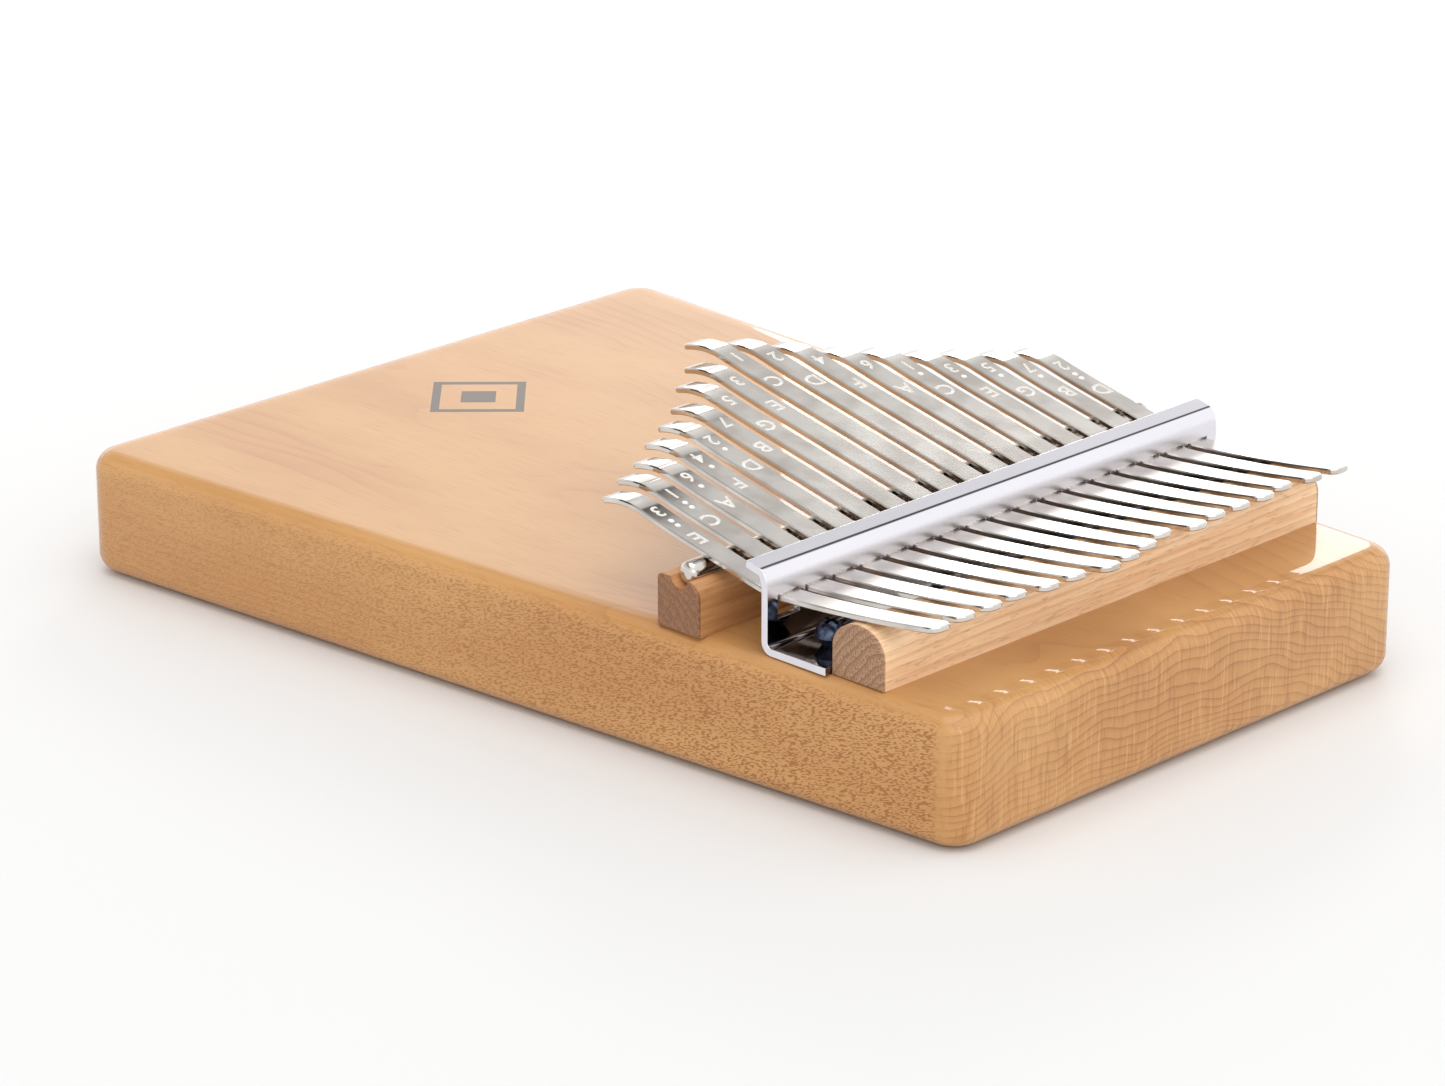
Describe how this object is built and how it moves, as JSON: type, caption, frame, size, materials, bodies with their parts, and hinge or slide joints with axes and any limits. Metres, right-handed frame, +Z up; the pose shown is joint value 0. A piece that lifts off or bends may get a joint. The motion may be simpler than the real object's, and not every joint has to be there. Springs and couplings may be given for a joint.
{
  "type": "mbira",
  "caption": "Solid-board mbira: tapered maple board, two wooden bridges, a steel rod, a bent chromed bracket and spring-steel tines that flex and slide to tune.",
  "frame": {"origin": "middle of the board's underside box", "axes": "+Z up out of the board's top, +Y from the tine tips towards the bridges, +X to the player's right"},
  "size_m": [0.153, 0.217, 0.051],
  "materials": {
    "board": "solid maple under clear gloss lacquer",
    "bridges": "planed beech, oiled",
    "rod": "drawn steel, nickel plated",
    "bracket": "bright chrome plated sheet steel",
    "screws": "blued steel, glossy",
    "tines": "bright nickel plated spring steel"
  },
  "bodies": {
    "body": {"board": "board", "front_bridge": "bridges", "bridge_rod": "rod", "rear_bridge": "bridges", "bracket": "bracket", "bracket_screws": "screws"},
    "tine_01_tail": {"tine_01_tail": "tines"},
    "tine_01_tongue": {"tine_01_tongue": "tines"},
    "tine_02_tail": {"tine_02_tail": "tines"},
    "tine_02_tongue": {"tine_02_tongue": "tines"},
    "tine_03_tail": {"tine_03_tail": "tines"},
    "tine_03_tongue": {"tine_03_tongue": "tines"},
    "tine_04_tail": {"tine_04_tail": "tines"},
    "tine_04_tongue": {"tine_04_tongue": "tines"},
    "tine_05_tail": {"tine_05_tail": "tines"},
    "tine_05_tongue": {"tine_05_tongue": "tines"},
    "tine_06_tail": {"tine_06_tail": "tines"},
    "tine_06_tongue": {"tine_06_tongue": "tines"},
    "tine_07_tail": {"tine_07_tail": "tines"},
    "tine_07_tongue": {"tine_07_tongue": "tines"},
    "tine_08_tail": {"tine_08_tail": "tines"},
    "tine_08_tongue": {"tine_08_tongue": "tines"},
    "tine_09_tail": {"tine_09_tail": "tines"},
    "tine_09_tongue": {"tine_09_tongue": "tines"},
    "tine_10_tail": {"tine_10_tail": "tines"},
    "tine_10_tongue": {"tine_10_tongue": "tines"},
    "tine_11_tail": {"tine_11_tail": "tines"},
    "tine_11_tongue": {"tine_11_tongue": "tines"},
    "tine_12_tail": {"tine_12_tail": "tines"},
    "tine_12_tongue": {"tine_12_tongue": "tines"},
    "tine_13_tail": {"tine_13_tail": "tines"},
    "tine_13_tongue": {"tine_13_tongue": "tines"},
    "tine_14_tail": {"tine_14_tail": "tines"},
    "tine_14_tongue": {"tine_14_tongue": "tines"},
    "tine_15_tail": {"tine_15_tail": "tines"},
    "tine_15_tongue": {"tine_15_tongue": "tines"},
    "tine_16_tail": {"tine_16_tail": "tines"},
    "tine_16_tongue": {"tine_16_tongue": "tines"},
    "tine_17_tail": {"tine_17_tail": "tines"},
    "tine_17_tongue": {"tine_17_tongue": "tines"}
  },
  "joints": [
    {"name": "tine_01_tune", "type": "slide", "parent": "body", "child": "tine_01_tail", "axis": [0, 1, 0], "range_m": [-0.001, 0.001]},
    {"name": "tine_01_pluck", "type": "hinge", "parent": "tine_01_tail", "child": "tine_01_tongue", "pos_m": [0.056, 0.0437, 0.03844], "axis": [1, 0, 0], "range_deg": [-3, 5], "stiffness_Nm_per_rad": 12.8},
    {"name": "tine_02_tune", "type": "slide", "parent": "body", "child": "tine_02_tail", "axis": [0, 1, 0], "range_m": [-0.001, 0.001]},
    {"name": "tine_02_pluck", "type": "hinge", "parent": "tine_02_tail", "child": "tine_02_tongue", "pos_m": [0.049, 0.0437, 0.03844], "axis": [1, 0, 0], "range_deg": [-3, 5], "stiffness_Nm_per_rad": 11.3},
    {"name": "tine_03_tune", "type": "slide", "parent": "body", "child": "tine_03_tail", "axis": [0, 1, 0], "range_m": [-0.001, 0.001]},
    {"name": "tine_03_pluck", "type": "hinge", "parent": "tine_03_tail", "child": "tine_03_tongue", "pos_m": [0.042, 0.0437, 0.03844], "axis": [1, 0, 0], "range_deg": [-3, 5], "stiffness_Nm_per_rad": 10.3},
    {"name": "tine_04_tune", "type": "slide", "parent": "body", "child": "tine_04_tail", "axis": [0, 1, 0], "range_m": [-0.001, 0.001]},
    {"name": "tine_04_pluck", "type": "hinge", "parent": "tine_04_tail", "child": "tine_04_tongue", "pos_m": [0.035, 0.0437, 0.03844], "axis": [1, 0, 0], "range_deg": [-3, 5], "stiffness_Nm_per_rad": 9.1},
    {"name": "tine_05_tune", "type": "slide", "parent": "body", "child": "tine_05_tail", "axis": [0, 1, 0], "range_m": [-0.001, 0.001]},
    {"name": "tine_05_pluck", "type": "hinge", "parent": "tine_05_tail", "child": "tine_05_tongue", "pos_m": [0.028, 0.0437, 0.03844], "axis": [1, 0, 0], "range_deg": [-3, 5], "stiffness_Nm_per_rad": 8.3},
    {"name": "tine_06_tune", "type": "slide", "parent": "body", "child": "tine_06_tail", "axis": [0, 1, 0], "range_m": [-0.001, 0.001]},
    {"name": "tine_06_pluck", "type": "hinge", "parent": "tine_06_tail", "child": "tine_06_tongue", "pos_m": [0.021, 0.0437, 0.03844], "axis": [1, 0, 0], "range_deg": [-3, 5], "stiffness_Nm_per_rad": 7.5},
    {"name": "tine_07_tune", "type": "slide", "parent": "body", "child": "tine_07_tail", "axis": [0, 1, 0], "range_m": [-0.001, 0.001]},
    {"name": "tine_07_pluck", "type": "hinge", "parent": "tine_07_tail", "child": "tine_07_tongue", "pos_m": [0.014, 0.0437, 0.03844], "axis": [1, 0, 0], "range_deg": [-3, 5], "stiffness_Nm_per_rad": 6.7},
    {"name": "tine_08_tune", "type": "slide", "parent": "body", "child": "tine_08_tail", "axis": [0, 1, 0], "range_m": [-0.001, 0.001]},
    {"name": "tine_08_pluck", "type": "hinge", "parent": "tine_08_tail", "child": "tine_08_tongue", "pos_m": [0.007, 0.0437, 0.03844], "axis": [1, 0, 0], "range_deg": [-3, 5], "stiffness_Nm_per_rad": 6.1},
    {"name": "tine_09_tune", "type": "slide", "parent": "body", "child": "tine_09_tail", "axis": [0, 1, 0], "range_m": [-0.001, 0.001]},
    {"name": "tine_09_pluck", "type": "hinge", "parent": "tine_09_tail", "child": "tine_09_tongue", "pos_m": [0, 0.0437, 0.03844], "axis": [1, 0, 0], "range_deg": [-3, 5], "stiffness_Nm_per_rad": 5.4},
    {"name": "tine_10_tune", "type": "slide", "parent": "body", "child": "tine_10_tail", "axis": [0, 1, 0], "range_m": [-0.001, 0.001]},
    {"name": "tine_10_pluck", "type": "hinge", "parent": "tine_10_tail", "child": "tine_10_tongue", "pos_m": [-0.007, 0.0437, 0.03844], "axis": [1, 0, 0], "range_deg": [-3, 5], "stiffness_Nm_per_rad": 5.7},
    {"name": "tine_11_tune", "type": "slide", "parent": "body", "child": "tine_11_tail", "axis": [0, 1, 0], "range_m": [-0.001, 0.001]},
    {"name": "tine_11_pluck", "type": "hinge", "parent": "tine_11_tail", "child": "tine_11_tongue", "pos_m": [-0.014, 0.0437, 0.03844], "axis": [1, 0, 0], "range_deg": [-3, 5], "stiffness_Nm_per_rad": 6.3},
    {"name": "tine_12_tune", "type": "slide", "parent": "body", "child": "tine_12_tail", "axis": [0, 1, 0], "range_m": [-0.001, 0.001]},
    {"name": "tine_12_pluck", "type": "hinge", "parent": "tine_12_tail", "child": "tine_12_tongue", "pos_m": [-0.021, 0.0437, 0.03844], "axis": [1, 0, 0], "range_deg": [-3, 5], "stiffness_Nm_per_rad": 7.1},
    {"name": "tine_13_tune", "type": "slide", "parent": "body", "child": "tine_13_tail", "axis": [0, 1, 0], "range_m": [-0.001, 0.001]},
    {"name": "tine_13_pluck", "type": "hinge", "parent": "tine_13_tail", "child": "tine_13_tongue", "pos_m": [-0.028, 0.0437, 0.03844], "axis": [1, 0, 0], "range_deg": [-3, 5], "stiffness_Nm_per_rad": 7.8},
    {"name": "tine_14_tune", "type": "slide", "parent": "body", "child": "tine_14_tail", "axis": [0, 1, 0], "range_m": [-0.001, 0.001]},
    {"name": "tine_14_pluck", "type": "hinge", "parent": "tine_14_tail", "child": "tine_14_tongue", "pos_m": [-0.035, 0.0437, 0.03844], "axis": [1, 0, 0], "range_deg": [-3, 5], "stiffness_Nm_per_rad": 8.8},
    {"name": "tine_15_tune", "type": "slide", "parent": "body", "child": "tine_15_tail", "axis": [0, 1, 0], "range_m": [-0.001, 0.001]},
    {"name": "tine_15_pluck", "type": "hinge", "parent": "tine_15_tail", "child": "tine_15_tongue", "pos_m": [-0.042, 0.0437, 0.03844], "axis": [1, 0, 0], "range_deg": [-3, 5], "stiffness_Nm_per_rad": 9.6},
    {"name": "tine_16_tune", "type": "slide", "parent": "body", "child": "tine_16_tail", "axis": [0, 1, 0], "range_m": [-0.001, 0.001]},
    {"name": "tine_16_pluck", "type": "hinge", "parent": "tine_16_tail", "child": "tine_16_tongue", "pos_m": [-0.049, 0.0437, 0.03844], "axis": [1, 0, 0], "range_deg": [-3, 5], "stiffness_Nm_per_rad": 10.9},
    {"name": "tine_17_tune", "type": "slide", "parent": "body", "child": "tine_17_tail", "axis": [0, 1, 0], "range_m": [-0.001, 0.001]},
    {"name": "tine_17_pluck", "type": "hinge", "parent": "tine_17_tail", "child": "tine_17_tongue", "pos_m": [-0.056, 0.0437, 0.03844], "axis": [1, 0, 0], "range_deg": [-3, 5], "stiffness_Nm_per_rad": 12}
  ]
}
